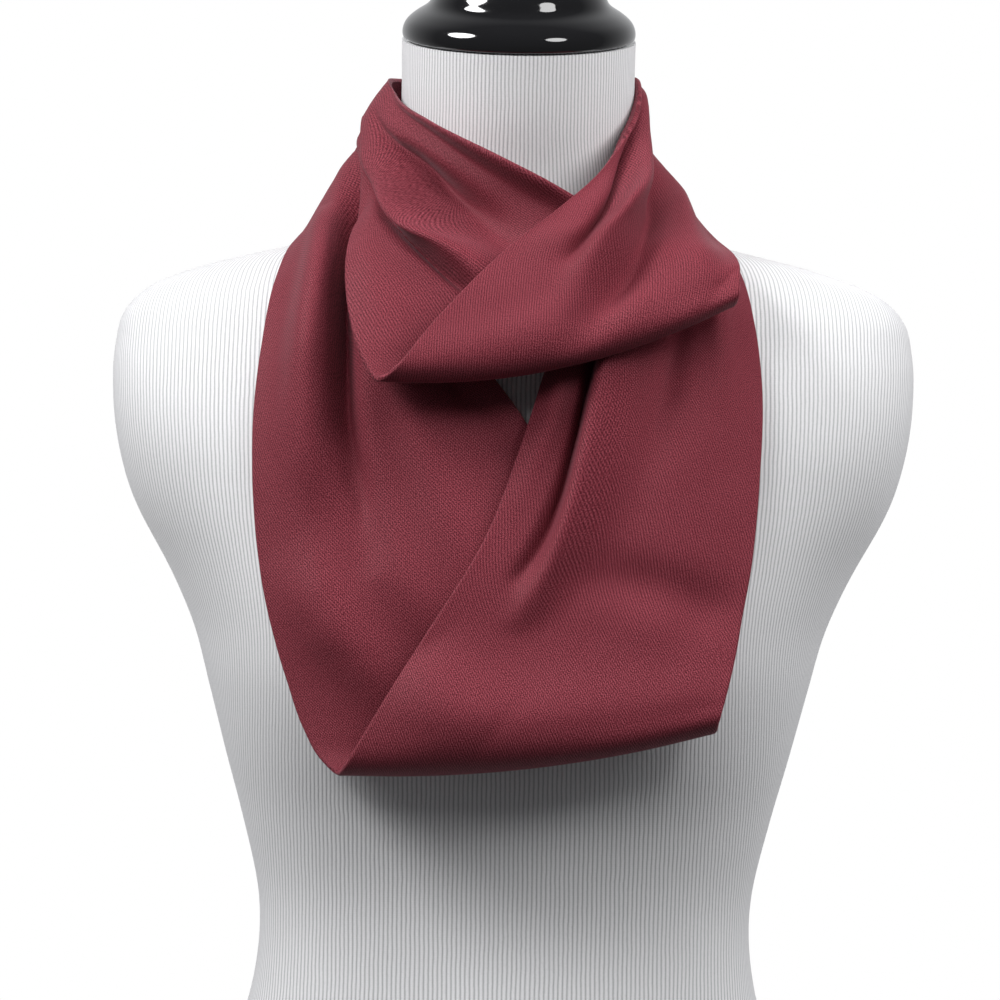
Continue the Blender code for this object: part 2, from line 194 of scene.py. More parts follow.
# Torso with its neck. A firm moulded form under a tight tubular cover of white jersey, whose ribs
# run straight down. The cover is closed at the middle of the back with one seam.
MM = 0.001
FORM_COLUMNS = 120
FORM_RINGS_PER_ROW = 4
BUST_X = 82.0
BUST_Z = 352.0
BUST_DEPTH = 28.0
BUST_SPREAD_X = 42.0
BUST_SPREAD_Z = 44.0
RIB_PITCH = 2.25
NECK_RIB_PITCH = 1.95
NECK_BOTTOM = 560.0
NECK_STRAIGHT = 600.0
FORM_RINGS = (
    # height, half_width, front, back, squareness, tilt
    (10.3, 163.0, 98.0, 110.0, 2.3, 0.0),
    (60.0, 161.0, 97.0, 107.0, 2.3, 0.0),
    (130.0, 144.0, 87.0, 88.0, 2.3, 0.0),
    (174.0, 127.0, 80.0, 77.0, 2.3, 0.0),
    (220.0, 122.0, 77.0, 72.0, 2.3, 0.0),
    (264.0, 131.0, 84.0, 77.0, 2.3, 0.0),
    (295.0, 139.5, 91.0, 82.0, 2.3, 0.0),
    (333.0, 149.5, 96.0, 87.0, 2.3, 0.0),
    (360.0, 157.0, 98.0, 90.0, 2.3, 0.0),
    (385.0, 168.0, 99.0, 92.0, 2.35, 0.0),
    (424.0, 189.0, 98.0, 94.0, 2.45, 0.0),
    (450.0, 196.5, 95.0, 94.0, 2.55, 0.0),
    (478.0, 199.8, 87.0, 92.0, 2.6, 0.0),
    (500.0, 199.0, 78.0, 88.0, 2.5, 0.0),
    (519.0, 193.0, 69.0, 82.0, 2.3, 0.0),
    (531.0, 178.0, 62.0, 77.0, 2.05, 0.0),
    (542.0, 146.0, 57.0, 72.0, 1.8, 0.0),
    (552.0, 104.0, 54.0, 66.0, 1.65, 0.0),
    (562.0, 77.0, 55.0, 61.0, 1.75, 2.0),
    (574.0, 64.0, 57.0, 57.0, 1.95, 5.0),
    (592.0, 59.5, 60.0, 52.0, 2.0, 9.0),
    (620.0, 58.0, 67.0, 45.0, 2.0, 12.0),
    (652.0, 58.0, 74.0, 38.0, 2.0, 13.0),
)


def spline(knots, values, s):
    """Values of a smooth curve at row numbers s, through one row of values a knot."""
    steps = np.diff(knots)[:, None]
    slopes = np.diff(values, axis=0) / steps
    inner = (steps[:-1] * slopes[1:] + steps[1:] * slopes[:-1]) / (steps[:-1] + steps[1:])
    tangents = np.vstack((slopes[:1], inner, slopes[-1:]))
    i = np.clip(np.floor(s).astype(int), 0, len(knots) - 2)
    t = (s - i)[:, None]
    h = steps[i]
    return (
        (1 + 2 * t) * (1 - t) ** 2 * values[i]
        + t * (1 - t) ** 2 * h * tangents[i]
        + t**2 * (3 - 2 * t) * values[i + 1]
        - t**2 * (1 - t) * h * tangents[i + 1]
    )


def running_total(steps):
    """Length up to each point, from the steps between them."""
    return np.concatenate(([0.0], np.cumsum(steps)))


def form_ring(row, turn):
    """Points of the form's ring at a row of the table, which need not be whole."""
    table = np.array(FORM_RINGS)
    height, half_width, front, back, squareness, tilt = spline(table[:, 0], table, np.array([row]))[0]
    across, depth = superellipse(turn, squareness)
    x = half_width * across
    y = (back - front) / 2 + (back + front) / 2 * depth
    side_fade = np.clip(-depth, 0, 1)
    for side in (-BUST_X, BUST_X):
        swell = np.exp(-(((x - side) / BUST_SPREAD_X) ** 2 + ((height - BUST_Z) / BUST_SPREAD_Z) ** 2) / 2)
        y -= BUST_DEPTH * swell * np.sqrt(side_fade)
    z = height + (y - (back - front) / 2) * math.tan(math.radians(tilt))
    return np.stack((x, y, z), axis=1)


def round_off(levels):
    """Rounds the object just modelled by subdivision."""
    rounding = bpy.context.object.modifiers.new("rounding", "SUBSURF")
    rounding.levels = rounding.render_levels = levels
    bpy.ops.object.modifier_apply(modifier="rounding")


# The upright edges of a plain cylinder are cut into rings, and each ring is moved to its outline.
ring_count = (len(FORM_RINGS) - 1) * FORM_RINGS_PER_ROW + 1
bpy.ops.mesh.primitive_cylinder_add(vertices=FORM_COLUMNS, radius=1, depth=1, location=(0, 0, 0))
form_mesh = bpy.context.object.data
edit()
leave_edit()
for edge in form_mesh.edges:
    low, high = (form_mesh.vertices[i].co for i in edge.vertices)
    edge.select = abs(high.z - low.z) > 0.5
bpy.ops.object.mode_set(mode="EDIT")
bpy.ops.mesh.subdivide(number_cuts=ring_count - 2)
leave_edit()
form_points = np.zeros(len(form_mesh.vertices) * 3)
form_mesh.vertices.foreach_get("co", form_points)
form_points = form_points.reshape(-1, 3)
ring_of = np.rint((form_points[:, 2] + 0.5) * (ring_count - 1)).astype(int)
turn_of = np.arctan2(form_points[:, 0], -form_points[:, 1])
arc_of = np.zeros(len(form_points))
for ring in range(ring_count):
    own = np.flatnonzero(ring_of == ring)
    own = own[np.argsort(turn_of[own])]
    outline = form_ring(ring / FORM_RINGS_PER_ROW, turn_of[own])
    form_points[own] = outline * MM
    arc = running_total(np.linalg.norm(np.diff(outline, axis=0), axis=1))
    arc_of[own] = arc - np.interp(0.0, turn_of[own], arc)
form_mesh.vertices.foreach_set("co", form_points.ravel())
creases = form_mesh.attributes.new("crease_edge", "FLOAT", "EDGE")
for edge in form_mesh.edges:
    creases.data[edge.index].value = float(all(ring_of[i] == ring_count - 1 for i in edge.vertices))

# The jersey's own map: arc length round the form from the middle of the front, scaled so that the
# ribs lie closer on the neck, and the height. It starts afresh at the seam at the back.
neck_gain = RIB_PITCH / NECK_RIB_PITCH
rib_gain = np.interp(form_points[:, 2] / MM, (NECK_BOTTOM, NECK_STRAIGHT), (1, neck_gain))
jersey_map = form_mesh.uv_layers.active or form_mesh.uv_layers.new()
jersey_map.name = "jersey"
on_seam = np.abs(turn_of) > math.pi - math.pi / FORM_COLUMNS
for face in form_mesh.polygons:
    side = 1 if face.center.x > 0 else -1
    for loop in face.loop_indices:
        vertex = form_mesh.loops[loop].vertex_index
        round_arc = side * abs(arc_of[vertex]) if on_seam[vertex] else arc_of[vertex]
        jersey_map.data[loop].uv = (round_arc * rib_gain[vertex] * MM, form_points[vertex, 2])
round_off(1)
bpy.ops.object.shade_smooth_by_angle(angle=math.radians(50))

# Ribbed jersey: rounded wales in relief, with the narrow gutter between them darkened by painted shade,
# small stitches along each, a slight waver of the knit, and a faint fuzz.
JERSEY_WHITE = (0.85, 0.85, 0.865, 1.0)
JERSEY_GUTTER_SHADE = (0.36, 0.36, 0.375, 1.0)
STITCH_HEIGHT = 0.0011
RIB_RELIEF = 0.00028
RIB_WAVER = 0.5
WALE_ROUNDNESS = 0.6
STITCH_SHARE = 0.06
FUZZ_SHARE = 0.35
# A Mix node's colour sockets, which share their names with its number sockets.
COLOUR_A, COLOUR_B, MIXED_COLOUR = 6, 7, 2

jersey, tree, shader = new_finish("ribbed_jersey", JERSEY_WHITE, 0.85)
shader.inputs["Sheen Weight"].default_value = 0.25
shader.inputs["Sheen Roughness"].default_value = 0.5
shader.inputs["Specular IOR Level"].default_value = 0.25
own_map = wire(tree, "ShaderNodeUVMap", uv_map="jersey").outputs["UV"]
place = wire(tree, "ShaderNodeTexCoord").outputs["Object"]
parts_of_map = wire(tree, "ShaderNodeSeparateXYZ", (("Vector", own_map),)).outputs
rib_count = maths(tree, "DIVIDE", parts_of_map["X"], RIB_PITCH * MM)
waver = maths(tree, "MULTIPLY", grain(tree, place, 60.0, 2.0), RIB_WAVER)
rib_turn = maths(tree, "MULTIPLY", maths(tree, "ADD", rib_count, waver), math.pi)
wale = maths(tree, "ABSOLUTE", maths(tree, "SINE", rib_turn))
wale = maths(tree, "POWER", wale, WALE_ROUNDNESS)
stitch_turn = maths(tree, "MULTIPLY", parts_of_map["Y"], 2 * math.pi / STITCH_HEIGHT)
stitch = maths(tree, "MULTIPLY", maths(tree, "SINE", stitch_turn), STITCH_SHARE)
knit_height = maths(tree, "MULTIPLY", wale, maths(tree, "ADD", stitch, 1.0))
relief(tree, shader, knit_height, strength=0.5, distance=RIB_RELIEF)
fuzz = maths(tree, "SUBTRACT", grain(tree, place, 1500.0, 2.0), 0.5)
# The wales' height also sets the colour: painted shade darkens the gutters, and the fuzz adds random tone.
gutter_shade_and_fuzz = maths(tree, "ADD", wale, maths(tree, "MULTIPLY", fuzz, FUZZ_SHARE))
rib_colour = wire(
    tree,
    "ShaderNodeMix",
    (("Factor", gutter_shade_and_fuzz), (COLOUR_A, JERSEY_GUTTER_SHADE), (COLOUR_B, JERSEY_WHITE)),
    data_type="RGBA",
)
tree.links.new(rib_colour.outputs[MIXED_COLOUR], shader.inputs["Base Color"])

torso = active_piece("form_torso", jersey)
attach(torso, "root")
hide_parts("torso")
bpy.ops.object.select_all(action="DESELECT")

# Neck cap. A turned plastic finial in two rounded steps, polished black, pressed onto the neck's
# slanted top over the edge of the jersey.
CAP_COLUMNS = 72
CAP_TILT = 13.0
CAP_BLACK = (0.006, 0.006, 0.007, 1.0)
CAP_PROFILE = (
    # radius, height
    (55.6, 0.3),
    (57.2, 1.0),
    (57.9, 2.6),
    (58.0, 4.8),
    (57.4, 7.4),
    (56.0, 10.0),
    (53.4, 12.4),
    (50.4, 14.6),
    (47.2, 16.4),
    (44.9, 18.2),
    (43.7, 20.2),
    (42.9, 22.6),
    (41.6, 25.2),
    (39.2, 28.2),
    (35.4, 31.4),
    (29.8, 34.6),
    (22.4, 37.4),
    (14.0, 39.6),
    (6.0, 40.2),
)

whole_turn = np.linspace(0, 2 * math.pi, FORM_COLUMNS, endpoint=False)
neck_top = form_ring(len(FORM_RINGS) - 1, whole_turn).mean(axis=0)
first_radius, first_height = CAP_PROFILE[0]
bpy.ops.mesh.primitive_circle_add(
    vertices=CAP_COLUMNS, radius=first_radius * MM, fill_type="NGON", location=(0, 0, first_height * MM)
)
bpy.ops.object.transform_apply(location=True)
edit(select="SELECT")
bpy.ops.mesh.select_mode(type="FACE")
for (radius, height), (wider, higher) in zip(CAP_PROFILE, CAP_PROFILE[1:]):
    bpy.ops.mesh.extrude_region_move(TRANSFORM_OT_translate={"value": (0, 0, (higher - height) * MM)})
    bpy.ops.transform.resize(value=(wider / radius, wider / radius, 1), center_override=(0, 0, 0))
bpy.ops.mesh.merge(type="CENTER")
bpy.ops.mesh.select_all(action="SELECT")
bpy.ops.mesh.normals_make_consistent(inside=False)
leave_edit()
cap = bpy.context.object
cap.location = Vector(neck_top) * MM
cap.rotation_euler.x = math.radians(CAP_TILT)
bpy.ops.object.transform_apply(location=True, rotation=True)
round_off(2)
bpy.ops.object.shade_smooth()

gloss_black, tree, shader = new_finish("polished_black", CAP_BLACK, 0.09)
shader.inputs["Coat Weight"].default_value = 1.0
shader.inputs["Coat Roughness"].default_value = 0.03
place = wire(tree, "ShaderNodeTexCoord").outputs["Object"]
relief(tree, shader, grain(tree, place, 30.0, 1.0), strength=0.04, distance=0.001)
leave_marks(tree, shader, place, 90.0, clean=0.05, handled=0.15)
cap = active_piece("form_neck_cap", gloss_black)
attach(cap, "root")
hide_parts("neck_cap")

# Infinity scarf. One tube of fine maroon twill, pressed flat, joined end to end into a loop and
# wound twice round the neck: low on the chest, then high at the throat. It lies on the form and on
# its own earlier turn, gathered behind the neck and turned over at the bottom of each turn.
SCARF_WIDTH = 172.0
HALF_THICKNESS = 1.05
HEM_RADIUS = 1.4
HEM_EASE = 5.0
HEM_CLEARANCE = 1.4
HEM_ANGLES = 4
SCARF_ROWS = 560
SCARF_COLUMNS = 73
MAP_SOFTENING = 60

# Folds are followed in steps, reach this many half widths, and are lower where the cloth is
# bunched to less than this width.
FOLD_STEPS = 161
FOLD_REACH = 4.0
FULL_FOLD_CHORD = 100.0

# The way out from the form leans up with the form's slope, measured over this height to each side.
SLOPE_STEP = 10.0
STEEPEST_SLOPE = 1.6

# The cloth is pushed out until it clears the form and its own earlier turns by these gaps, and it
# bends no more sharply than this radius. It isn't pushed off the cloth that it runs on into.
FORM_GAP = 1.5
LAYER_GAP = 2.6
RAY_START = 400.0
LEAST_FACING = 0.35
DRAPE_RADIUS = 70.0
DRAPE_REACH = 36
DRAPE_SOFTENING = 24
SEAM_HELD = 5.0
SEAM_FREE = 18.0

# Each section of the band, all the way round its closed loop: where hem A and hem B lie, how far
# the middle of the section stands out from the straight line between them, and how far it hangs
# below that line.
SECTIONS = (
    # ax, ay, az, bx, by, bz, bow, sag
    # Lower left stretch
    (0, 84, 532, 0, 61, 585, 6, 0),
    (-50, 74, 536, -40, 51, 591, 5, 0),
    (-88, 46, 544, -66, 28, 602, 1, 0),
    (-104, 4, 550, -77, 2, 607, 1, 0),
    (-113, -34, 540, -66, -38, 590, 3, 0),
    (-118, -58, 523, -54, -60, 563, 6, 0),
    (-122, -76, 495, -40, -77, 530, 8, 0),
    (-125, -89, 455, -18, -91, 494, 9, 0),
    (-123, -95, 412, 6, -98, 462, 10, 0),
    (-116, -100, 371, 34, -109, 411, 12, 1),
    (-106, -104, 336, 62, -115, 365, 12, 3),
    (-97, -108, 312, 82, -114, 336, 8, 5),
    (-89, -112, 299, 94, -112, 322, 6, 6),
    (-81, -118, 293, 99, -117, 316, 4, 7),
    (-77, -126, 297, 100, -124, 320, 3, 7),
    # Lower right stretch
    (-63, -130, 320, 103, -124, 331, 3, 6),
    (-43, -127, 354, 108, -117, 352, 4, 4),
    (-13, -117, 404, 115, -108, 392, 6, 2),
    (6, -108, 456, 119, -98, 437, 7, 0),
    (18, -95, 494, 120, -88, 476, 8, 0),
    (32, -77, 530, 116, -72, 512, 7, 0),
    (45, -53, 566, 109, -40, 537, 3, 0),
    (54, -25, 590, 95, -8, 550, -5, 0),
    (56, 6, 611, 82, 24, 556, -6, 0),
    (49, 32, 624, 61, 48, 568, -1, 0),
    (28, 49, 631, 36, 60, 584, 4, 0),
    # Upper left stretch
    (0, 52, 633, 0, 62, 590, 5, 0),
    (-32, 46, 635, -42, 58, 594, 5, 0),
    (-57, 24, 635, -69, 32, 607, 3, 0),
    (-64, -2, 632, -76, -4, 614, 1, 0),
    (-56, -33, 620, -76, -34, 591, 3, 0),
    (-36, -62, 607, -71, -54, 571, 4, 0),
    (-5, -78, 588, -79, -76, 550, 6, 0),
    (28, -82, 569, -81, -94, 532, 8, 1),
    (60, -83, 550, -79, -108, 512, 8, 4),
    (86, -87, 533, -74, -120, 494, 6, 9),
    (100, -92, 525, -70, -125, 486, 5, 12),
    (105, -99, 520, -65, -132, 480, 4, 14),
    (107, -106, 523, -57, -139, 485, 4, 14),
    # Upper right stretch
    (108, -101, 532, -38, -132, 508, 7, 11),
    (107, -84, 541, -10, -117, 538, 10, 6),
    (97, -46, 553, 21, -98, 565, 8, 2),
    (84, -14, 571, 44, -70, 589, 6, 0),
    (71, 2, 588, 55, -38, 612, 1, 0),
    (62, 20, 592, 57, -4, 635, 0, 0),
    (58, 46, 574, 53, 30, 629, 1, 0),
    (38, 74, 549, 35, 58, 604, 5, 0),
)
# The first section of each stretch, and of the loop's next round.
STRETCHES = (0, 15, 26, 39, 47)

# Each fold of the cloth: a ridge (height above 0) or a trough (below 0) along a curve through
# points. A point is a section number, counted on round the loop, and a share of the width from
# hem A. The fold has a half width, a height, and a lean that tips it towards hem B.
FOLDS = (
    # half_width, height, lean, points (s, v)
    # Lower left stretch
    (18, 15, 2, (3.9, 0.48), (4.8, 0.38), (5.8, 0.29), (7.2, 0.23), (9.8, 0.18)),
    (10, -32, 0, (2.8, 0.90), (3.9, 0.715), (4.7, 0.61), (5.5, 0.53), (6.4, 0.47), (7.4, 0.405),
     (9.0, 0.37)),
    (16, 6, 0, (4.2, 1.00), (5.8, 0.76), (7.2, 0.66), (9.0, 0.64), (10.6, 0.68)),
    (10, -5, 0, (5.6, 0.88), (6.8, 0.84), (8.2, 0.88)),
    (16, -6, 0, (7.6, 0.18), (9.2, 0.33), (11.0, 0.54)),
    (16, 4, 0, (8.4, 0.04), (9.8, 0.22), (11.6, 0.40)),
    # Lower right stretch
    (7, -11, 0, (22.0, 0.26), (20.0, 0.21), (18.8, 0.215), (17.7, 0.23), (17.0, 0.21), (16.6, 0.17)),
    (11, 11, -8, (22.2, 0.40), (20.0, 0.32), (18.7, 0.31), (17.5, 0.32), (16.8, 0.30), (16.2, 0.25)),
    (15, -5, 0, (21.6, 0.62), (19.6, 0.56), (18.0, 0.52), (16.9, 0.46)),
    (13, -7, 0, (16.9, 0.32), (16.75, 0.66), (16.4, 1.04)),
    (24, 9, 0, (15.0, -0.06), (14.8, 0.20), (14.9, 0.50), (15.2, 1.04)),
    (18, 6, 0, (15.9, 0.00), (15.4, 0.14), (15.0, 0.36)),
    (13, 5, 0, (22.3, 0.82), (20.4, 0.78), (18.6, 0.80)),
    (9, 4, 0, (19.8, 0.03), (18.4, 0.08), (17.2, 0.07)),
    # Gathers behind the neck, upper wrap
    (11, 14, 0, (23.2, 0.14), (24.6, 0.16), (26.4, 0.13), (28.2, 0.16)),
    (11, -14, 0, (23.4, 0.34), (24.8, 0.31), (26.4, 0.32), (28.0, 0.34)),
    (11, 15, 0, (23.0, 0.52), (24.6, 0.49), (26.4, 0.51), (28.2, 0.53)),
    (11, -14, 0, (23.2, 0.66), (24.8, 0.68), (26.6, 0.67), (28.4, 0.70)),
    (11, 13, 0, (23.4, 0.86), (24.6, 0.85), (26.4, 0.87), (28.0, 0.86)),
    # Upper left stretch
    (13, 24, 0, (29.6, -0.02), (30.9, 0.00), (32.0, 0.01), (34.0, 0.00)),
    (20, -33, 0, (29.4, 0.46), (30.6, 0.52), (31.4, 0.46), (32.3, 0.39), (33.8, 0.33)),
    (12, 14, 9, (29.6, 0.96), (30.6, 0.82), (31.6, 0.65), (32.6, 0.575), (33.5, 0.53), (34.5, 0.49),
     (35.6, 0.47)),
    (5, -10, 0, (30.5, 1.02), (31.3, 0.86), (32.1, 0.745), (32.9, 0.68), (33.7, 0.625), (34.3, 0.59),
     (36.0, 0.55)),
    (22, 5, 0, (31.4, 0.98), (33.0, 0.92), (35.0, 0.90), (36.6, 0.88)),
    # Upper right stretch
    (14, 16, 9, (45.2, 0.78), (43.6, 0.79), (42.5, 0.74), (41.5, 0.67), (40.6, 0.60), (39.0, 0.57)),
    (8, -15, 0, (45.0, 0.97), (43.4, 0.94), (42.4, 0.88), (41.5, 0.805), (40.7, 0.73), (39.9, 0.68)),
    (13, -13, 0, (43.2, 0.50), (42.0, 0.50), (41.0, 0.46), (40.0, 0.44), (39.2, 0.46), (38.3, 0.56)),
    (17, 9, 0, (43.4, 0.30), (42.0, 0.29), (40.9, 0.22), (39.8, 0.15), (38.8, 0.08)),
    (12, 4, 0, (38.2, 0.98), (38.7, 0.75), (38.8, 0.50), (38.8, 0.28), (38.6, 0.06)),
    # Gathers behind the neck, lower wrap
    (11, 14, 0, (44.6, 0.14), (46.0, 0.15), (47.6, 0.13), (49.4, 0.16)),
    (11, -14, 0, (44.8, 0.33), (46.2, 0.32), (47.8, 0.34), (49.2, 0.33)),
    (11, 15, 0, (44.6, 0.49), (46.0, 0.52), (47.6, 0.50), (49.4, 0.49)),
    (11, -14, 0, (44.8, 0.70), (46.2, 0.68), (47.8, 0.69), (49.2, 0.67)),
    (11, 13, 0, (45.0, 0.87), (46.2, 0.85), (47.8, 0.86), (49.2, 0.84)),
)
# Small unevenness of the whole cloth, over patches of this size.
RIPPLE_HEIGHT = 0.55
RIPPLE_SIZE = 24.0


def form_outline(heights):
    """Half width, front and back of the form at these heights."""
    table = np.array(FORM_RINGS)
    rows = np.interp(heights, table[:, 0], np.arange(len(table)))
    return spline(table[:, 0], table[:, 1:4], rows)


def outward(points):
    """Direction away from the form at each point, as the form's own surface faces there."""
    x, y, height = points.reshape(-1, 3).T
    half_width, front, back = form_outline(height).T
    flatness = ((back + front) / 2 / half_width) ** 2
    away = np.stack((x * flatness, y - (back - front) / 2, 0 * x), axis=-1)
    away /= np.linalg.norm(away, axis=-1, keepdims=True)
    narrowing = form_outline(height - SLOPE_STEP) - form_outline(height + SLOPE_STEP)
    across, ahead, behind = narrowing.T / (2 * SLOPE_STEP)
    slope = away[:, 0] ** 2 * across + away[:, 1] ** 2 * np.where(away[:, 1] < 0, ahead, behind)
    away[:, 2] = np.clip(slope, 0, STEEPEST_SLOPE)
    away /= np.linalg.norm(away, axis=-1, keepdims=True)
    return away.reshape(points.shape)


def round_lengths(points_a, points_b):
    """Lengths round the loop up to each section: the mean of the hems, hem A and hem B."""
    steps_a = np.linalg.norm(np.diff(points_a, axis=0), axis=1)
    steps_b = np.linalg.norm(np.diff(points_b, axis=0), axis=1)
    return [running_total(steps) for steps in ((steps_a + steps_b) / 2, steps_a, steps_b)]


sections = np.array(SECTIONS, float)
around = np.vstack((sections[-2:], sections, sections[:3]))
around_knots = round_lengths(around[:, 0:3], around[:, 3:6])[0]
closed = np.vstack((sections, sections[:1]))
knots, knots_a, knots_b = round_lengths(closed[:, 0:3], closed[:, 3:6])
loop_length = knots[-1]
row_s = np.interp(np.arange(SCARF_ROWS) * loop_length / SCARF_ROWS, knots, np.arange(len(knots)))
column_v = np.linspace(0, 1, SCARF_COLUMNS)
rows = spline(around_knots, around, row_s + 2)
hem_a, hem_b = rows[:, None, 0:3], rows[:, None, 3:6]
bow, sag = rows[:, None, 6:7], rows[:, None, 7:8]
share = column_v[None, :, None]

# The folds are measured on the cloth laid flat: length round the loop, and distance from hem A.
twice_a = np.append(knots_a, knots_a[1:] + knots_a[-1])
twice_b = np.append(knots_b, knots_b[1:] + knots_b[-1])


def laid_flat(s, v):
    """Place on the flat cloth of a section number and a share of the width."""
    counted = np.arange(len(twice_a))
    length = np.interp(s, counted, twice_a) * (1 - v) + np.interp(s, counted, twice_b) * v
    return np.stack((length, SCARF_WIDTH * v), axis=-1)


def shorter_way(length):
    """A length along the loop, counted the shorter way round."""
    return (length + loop_length / 2) % loop_length - loop_length / 2


flat_places = laid_flat(*np.meshgrid(row_s, column_v, indexing="ij"))
lift = np.zeros(flat_places.shape[:2])
tip = np.zeros(flat_places.shape[:2])
along_fold = np.linspace(0, 1, FOLD_STEPS)
for half_width, height, lean, *fold_points in FOLDS:
    fold_knots = np.arange(len(fold_points))
    line = laid_flat(*spline(fold_knots, np.array(fold_points), along_fold * fold_knots[-1]).T)
    from_middle = shorter_way(flat_places[:, SCARF_COLUMNS // 2, 0] - line[:, 0].mean())
    near = np.flatnonzero(np.abs(from_middle) < np.ptp(line[:, 0]) / 2 + FOLD_REACH * half_width)
    away = flat_places[near][..., None, :] - line
    away[..., 0] = shorter_way(away[..., 0])
    distance = np.linalg.norm(away, axis=-1)
    end_fade = np.sin(np.pi * along_fold[distance.argmin(axis=-1)])
    swell = np.exp(-((distance.min(axis=-1) / half_width) ** 2)) * end_fade
    lift[near] += height * swell
    tip[near] += lean * swell
loop_radius = loop_length / (2 * math.pi)
for index in np.ndindex(lift.shape):
    length, width = flat_places[index]
    turn = length / loop_radius
    on_hoop = Vector((loop_radius * math.cos(turn), loop_radius * math.sin(turn), width))
    lift[index] += RIPPLE_HEIGHT * noise.noise(on_hoop / RIPPLE_SIZE)

chord = np.linalg.norm(hem_b - hem_a, axis=-1, keepdims=True)
arch = 4 * share * (1 - share)
spacious = np.minimum(1, chord / FULL_FOLD_CHORD)
points = hem_a * (1 - share) + hem_b * share - np.array((0, 0, 1)) * sag * arch
rise = bow * arch + lift[..., None] * spacious
points = points + outward(points) * rise + (hem_b - hem_a) / chord * tip[..., None] * spacious

row_step = loop_length / SCARF_ROWS
column_step = SCARF_WIDTH / (SCARF_COLUMNS - 1)


def lift_needed(patch, tree, gap):
    """How far each point has to move outwards to lie outside a surface."""
    need = np.zeros(patch.shape[:2])
    directions = outward(patch)
    for index in np.ndindex(need.shape):
        point, away = Vector(patch[index]), Vector(directions[index])
        hit, _, _, distance = tree.ray_cast((point + away * RAY_START) * MM, -away)
        if hit is not None:
            need[index] = max(0.0, RAY_START + gap - distance / MM)
        moved = point + away * need[index]
        _, normal, _, distance = tree.find_nearest(moved * MM)
        clear = distance / MM
        if clear < gap:
            need[index] += (gap - clear) / max(LEAST_FACING, abs(normal.dot(away)))
    return need


def soften(field):
    """One step of blurring over the grid, which is closed round the loop."""
    field = (np.roll(field, 1, axis=0) + 2 * field + np.roll(field, -1, axis=0)) / 4
    ends = np.concatenate((field[:, :1], field, field[:, -1:]), axis=1)
    return (ends[:, :-2] + 2 * field + ends[:, 2:]) / 4


def pushed_out(patch, need):
    """The cloth lifted by what is needed, with no bend of the lift too sharp."""
    lifted = need.copy()
    for shift in range(-DRAPE_REACH, DRAPE_REACH + 1):
        fall = (shift * row_step) ** 2 / (2 * DRAPE_RADIUS)
        lifted = np.maximum(lifted, np.roll(need, shift, axis=0) - fall)
    padded = np.pad(lifted, ((0, 0), (DRAPE_REACH, DRAPE_REACH)))
    width = need.shape[1]
    for shift in range(2 * DRAPE_REACH + 1):
        fall = ((shift - DRAPE_REACH) * column_step) ** 2 / (2 * DRAPE_RADIUS)
        lifted = np.maximum(lifted, padded[:, shift : shift + width] - fall)
    for _ in range(DRAPE_SOFTENING):
        lifted = np.maximum(soften(lifted), need)
    return patch + outward(patch) * soften(soften(lifted))[..., None]


def grid_tree(patch):
    """A search tree of a patch of cloth."""
    count_rows, count_columns = patch.shape[:2]
    first = [i * count_columns + j for i in range(count_rows - 1) for j in range(count_columns - 1)]
    faces = [(k, k + count_columns, k + count_columns + 1, k + 1) for k in first]
    return BVHTree.FromPolygons((patch.reshape(-1, 3) * MM).tolist(), faces)


def near_seam(patch, at_start, at_end):
    """Zero where a stretch runs on into the cloth under it, one away from there."""
    length = running_total(np.linalg.norm(np.diff(patch, axis=0), axis=2).mean(axis=1))
    free = np.ones(len(length))
    for runs_on, from_seam in ((at_start, length), (at_end, length[-1] - length)):
        if runs_on:
            free *= np.clip((from_seam - SEAM_HELD) / (SEAM_FREE - SEAM_HELD), 0, 1)
    return free[:, None]


form_skin = [vertex.co for vertex in torso.data.vertices]
form_tree = BVHTree.FromPolygons(form_skin, [face.vertices for face in torso.data.polygons])
points = pushed_out(points, lift_needed(points, form_tree, FORM_GAP))
starts = [int(np.searchsorted(row_s, section)) for section in STRETCHES]
layers = []
for number, (start, end) in enumerate(zip(starts, starts[1:])):
    need = np.zeros(points.shape[:2])
    stretch = points[start:end]
    for index, layer in enumerate(layers):
        closes_loop = index == 0 and number == len(STRETCHES) - 2
        free = near_seam(stretch, at_start=index == number - 1, at_end=closes_loop)
        off_layer = lift_needed(stretch, layer, LAYER_GAP) * free
        need[start:end] = np.maximum(need[start:end], off_layer)
    points = pushed_out(points, need)
    layers.append(grid_tree(points[start:end]))

# The cloth's skin: a flat tube round these middle points, with rounded folded edges at the hems.
lengthwise = np.roll(points, -1, axis=0) - np.roll(points, 1, axis=0)
normals = np.cross(lengthwise, np.gradient(points, axis=1))
normals /= np.linalg.norm(normals, axis=-1, keepdims=True)
for _ in range(2):
    normals = np.stack([soften(normals[..., axis]) for axis in range(3)], axis=-1)
normals /= np.linalg.norm(normals, axis=-1, keepdims=True)

hem_turns = np.linspace(0, math.pi / 2, HEM_ANGLES + 1)
hem_places = HEM_RADIUS * (1 - np.cos(hem_turns))
column_places = column_v * SCARF_WIDTH
inner = np.minimum(column_places, SCARF_WIDTH - column_places) > HEM_RADIUS * HEM_CLEARANCE
face_places = np.concatenate((hem_places, column_places[inner], SCARF_WIDTH - hem_places[::-1]))
from_hem = np.minimum(face_places, SCARF_WIDTH - face_places)
rounded = np.sqrt(np.maximum(0, HEM_RADIUS**2 - (HEM_RADIUS - np.minimum(from_hem, HEM_RADIUS)) ** 2))
past_hem = np.maximum(0, from_hem - HEM_RADIUS)
eased = HALF_THICKNESS + (HEM_RADIUS - HALF_THICKNESS) * np.exp(-past_hem / HEM_EASE)
half_thickness = np.where(from_hem < HEM_RADIUS, rounded, eased)
ring_places = np.concatenate((face_places, face_places[-2:0:-1]))
ring_offsets = np.concatenate((half_thickness, -half_thickness[-2:0:-1]))
